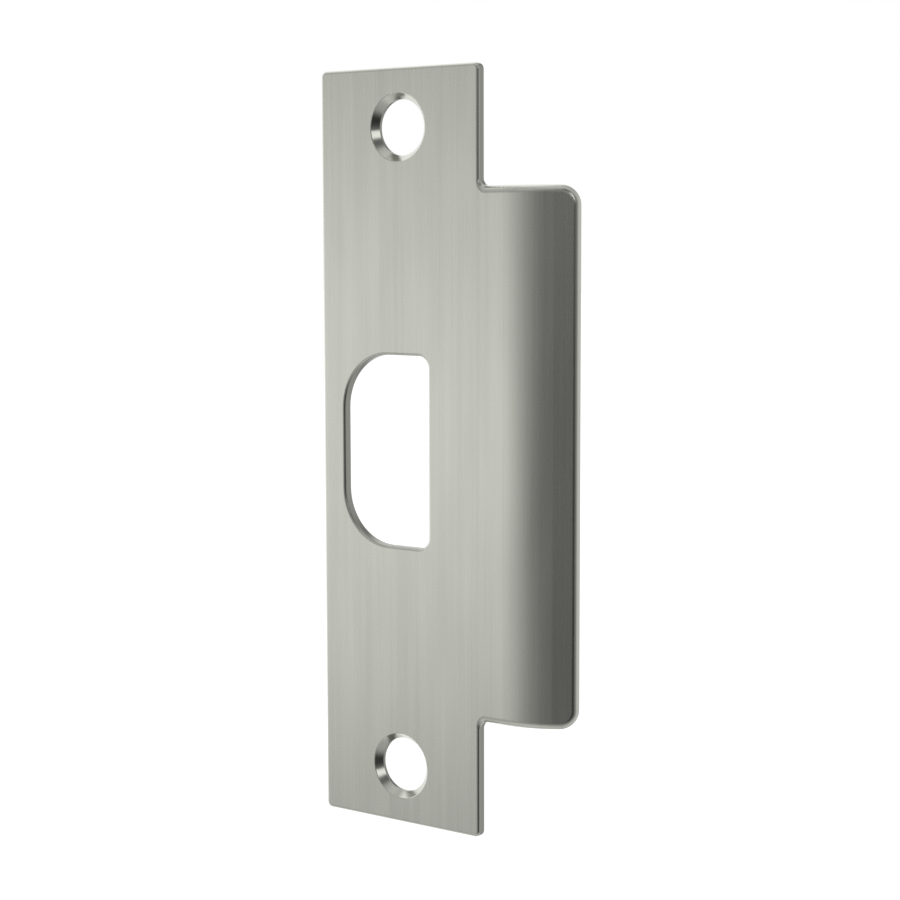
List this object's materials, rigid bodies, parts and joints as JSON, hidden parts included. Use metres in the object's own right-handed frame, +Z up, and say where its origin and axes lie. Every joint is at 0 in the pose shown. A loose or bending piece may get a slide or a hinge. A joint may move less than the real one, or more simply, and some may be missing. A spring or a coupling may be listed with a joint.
{
  "type": "door strike plate",
  "caption": "Flat door strike plate with a curved lip at one side, a bowed latch opening and countersunk screw holes in its two ends.",
  "frame": {"origin": "on the back face, which beds on the door frame, midway between the two screw holes", "axes": "+Z runs up along the plate, -Y is the way the face looks, +X runs to the curved lip"},
  "size_m": [0.0475, 0.0059, 0.1238],
  "materials": {
    "satin_steel": "satin, brushed along the plate"
  },
  "bodies": {
    "root": {"strike_plate": "satin_steel"}
  },
  "joints": []
}
